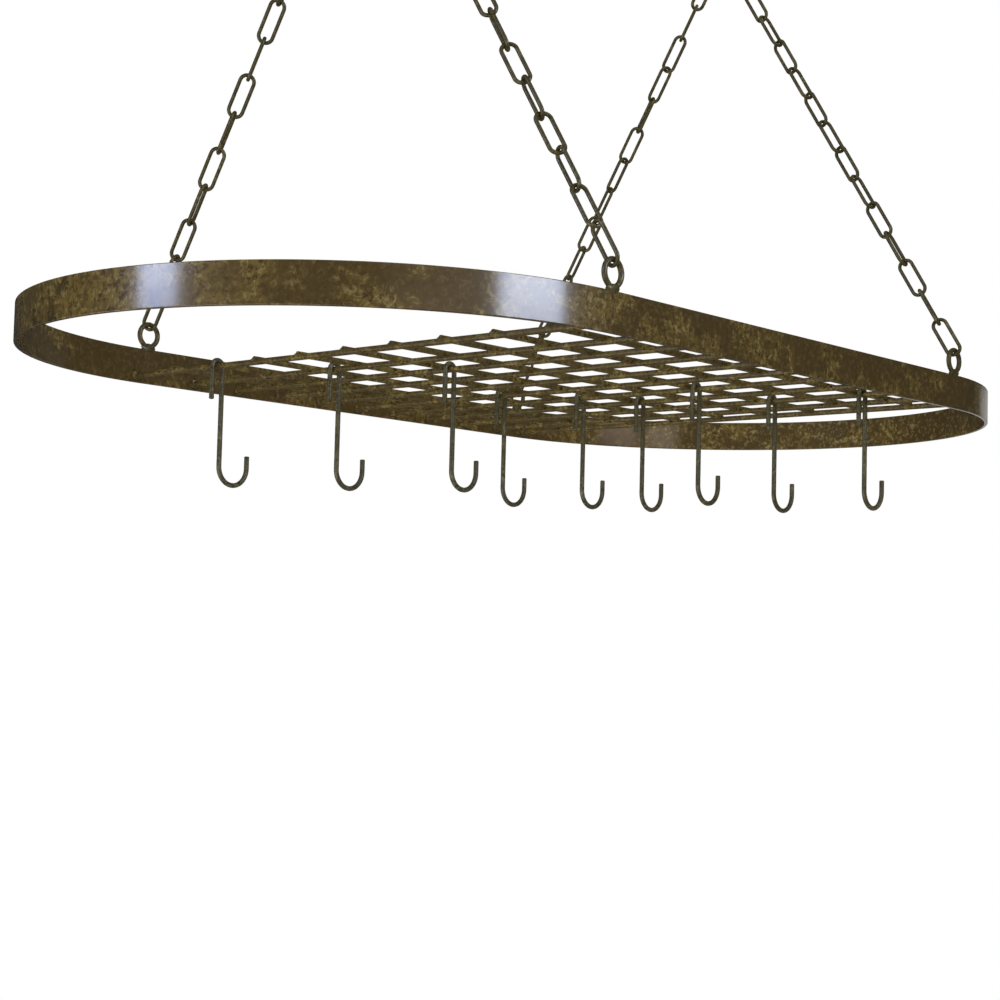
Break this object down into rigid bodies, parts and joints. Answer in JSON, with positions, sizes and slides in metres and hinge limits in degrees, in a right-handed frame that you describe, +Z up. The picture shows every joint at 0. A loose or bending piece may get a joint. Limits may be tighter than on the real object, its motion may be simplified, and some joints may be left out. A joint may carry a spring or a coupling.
{
  "type": "hanging pot rack",
  "caption": "Oval hanging pot rack of flat bar with a welded rod grid, hung by chains from ceiling hooks, with loose pot hooks.",
  "frame": {"origin": "midway between the two ceiling hooks, at the ceiling's face", "axes": "+X along the rack, +Y across it, away from the near side, +Z up into the ceiling"},
  "size_m": [0.84, 0.4399, 0.5536],
  "materials": {
    "band_bronze": "glossy antique bronze coat, dark brown with olive-gold flecks",
    "rod_bronze": "satin antique bronze coat with fine gold flecks",
    "chain_bronze": "satin olive bronze coat, worn brighter where links touch",
    "hook_bronze": "satin olive bronze coat with gold flecks"
  },
  "bodies": {
    "ceiling_hooks": {"left_ceiling_hook": "hook_bronze", "right_ceiling_hook": "hook_bronze"},
    "top_links": {"near_left_top_link": "chain_bronze", "far_left_top_link": "chain_bronze", "near_right_top_link": "chain_bronze", "far_right_top_link": "chain_bronze"},
    "near_left_chain": {"near_left_chain": "chain_bronze"},
    "far_left_chain": {"far_left_chain": "chain_bronze"},
    "near_right_chain": {"near_right_chain": "chain_bronze"},
    "far_right_chain": {"far_right_chain": "chain_bronze"},
    "rack": {"oval_band": "band_bronze", "cross_rod_1": "rod_bronze", "cross_rod_2": "rod_bronze", "cross_rod_3": "rod_bronze", "cross_rod_4": "rod_bronze", "cross_rod_5": "rod_bronze", "cross_rod_6": "rod_bronze", "cross_rod_7": "rod_bronze", "cross_rod_8": "rod_bronze", "cross_rod_9": "rod_bronze", "cross_rod_10": "rod_bronze", "cross_rod_11": "rod_bronze", "long_rod_1": "rod_bronze", "long_rod_2": "rod_bronze", "long_rod_3": "rod_bronze", "long_rod_4": "rod_bronze", "long_rod_5": "rod_bronze", "long_rod_6": "rod_bronze", "long_rod_7": "rod_bronze", "long_rod_8": "rod_bronze", "long_rod_9": "rod_bronze", "near_left_eye": "chain_bronze", "far_left_eye": "chain_bronze", "near_right_eye": "chain_bronze", "far_right_eye": "chain_bronze"},
    "pot_hook_1": {"pot_hook_1": "hook_bronze"},
    "pot_hook_2": {"pot_hook_2": "hook_bronze"},
    "pot_hook_3": {"pot_hook_3": "hook_bronze"},
    "pot_hook_4": {"pot_hook_4": "hook_bronze"},
    "pot_hook_5": {"pot_hook_5": "hook_bronze"},
    "pot_hook_6": {"pot_hook_6": "hook_bronze"},
    "pot_hook_7": {"pot_hook_7": "hook_bronze"},
    "pot_hook_8": {"pot_hook_8": "hook_bronze"},
    "pot_hook_9": {"pot_hook_9": "hook_bronze"}
  },
  "joints": [
    {"name": "sideways_swing", "type": "hinge", "parent": "ceiling_hooks", "child": "top_links", "pos_m": [0, 0, -0.044], "axis": [1, 0, 0], "range_deg": [-10, 10]},
    {"name": "near_left_chain_swing", "type": "hinge", "parent": "top_links", "child": "near_left_chain", "pos_m": [-0.20795, -0.01308, -0.0656], "axis": [0, 1, 0], "range_deg": [-8, 8]},
    {"name": "far_left_chain_swing", "type": "hinge", "parent": "top_links", "child": "far_left_chain", "pos_m": [-0.20405, 0.01308, -0.0656], "axis": [0, 1, 0], "range_deg": [-8, 8]},
    {"name": "near_right_chain_swing", "type": "hinge", "parent": "top_links", "child": "near_right_chain", "pos_m": [0.20405, -0.01308, -0.0656], "axis": [0, 1, 0], "range_deg": [-8, 8]},
    {"name": "far_right_chain_swing", "type": "hinge", "parent": "top_links", "child": "far_right_chain", "pos_m": [0.20795, 0.01308, -0.0656], "axis": [0, 1, 0], "range_deg": [-8, 8]},
    {"name": "lengthways_swing", "type": "hinge", "parent": "near_left_chain", "child": "rack", "pos_m": [-0.20795, -0.2155, -0.39965], "axis": [0, 1, 0], "range_deg": [-8, 8]},
    {"name": "pot_hook_1_swing", "type": "hinge", "parent": "rack", "child": "pot_hook_1", "pos_m": [-0.2151, 0.1237, -0.43649], "axis": [0, 1, 0], "range_deg": [-30, 30]},
    {"name": "pot_hook_2_swing", "type": "hinge", "parent": "rack", "child": "pot_hook_2", "pos_m": [-0.1611, 0.06336, -0.43649], "axis": [0, 1, 0], "range_deg": [-30, 30]},
    {"name": "pot_hook_3_swing", "type": "hinge", "parent": "rack", "child": "pot_hook_3", "pos_m": [-0.1187, -0.0056, -0.43649], "axis": [0, 1, 0], "range_deg": [-30, 30]},
    {"name": "pot_hook_4_swing", "type": "hinge", "parent": "rack", "child": "pot_hook_4", "pos_m": [0.0085, 0.05862, -0.43649], "axis": [0, 1, 0], "range_deg": [-30, 30]},
    {"name": "pot_hook_5_swing", "type": "hinge", "parent": "rack", "child": "pot_hook_5", "pos_m": [0.0509, 0.01595, -0.43649], "axis": [0, 1, 0], "range_deg": [-30, 30]},
    {"name": "pot_hook_6_swing", "type": "hinge", "parent": "rack", "child": "pot_hook_6", "pos_m": [0.0933, -0.00862, -0.43649], "axis": [0, 1, 0], "range_deg": [-30, 30]},
    {"name": "pot_hook_7_swing", "type": "hinge", "parent": "rack", "child": "pot_hook_7", "pos_m": [0.0509, -0.09094, -0.43649], "axis": [0, 1, 0], "range_deg": [-30, 30]},
    {"name": "pot_hook_8_swing", "type": "hinge", "parent": "rack", "child": "pot_hook_8", "pos_m": [0.1357, -0.10042, -0.43649], "axis": [0, 1, 0], "range_deg": [-30, 30]},
    {"name": "pot_hook_9_swing", "type": "hinge", "parent": "rack", "child": "pot_hook_9", "pos_m": [0.1357, -0.17757, -0.43649], "axis": [0, 1, 0], "range_deg": [-30, 30]}
  ],
  "couplings": [
    {"joint": "near_left_chain_swing", "follows": "lengthways_swing", "ratio": -1},
    {"joint": "far_left_chain_swing", "follows": "lengthways_swing", "ratio": -1},
    {"joint": "near_right_chain_swing", "follows": "lengthways_swing", "ratio": -1},
    {"joint": "far_right_chain_swing", "follows": "lengthways_swing", "ratio": -1}
  ]
}
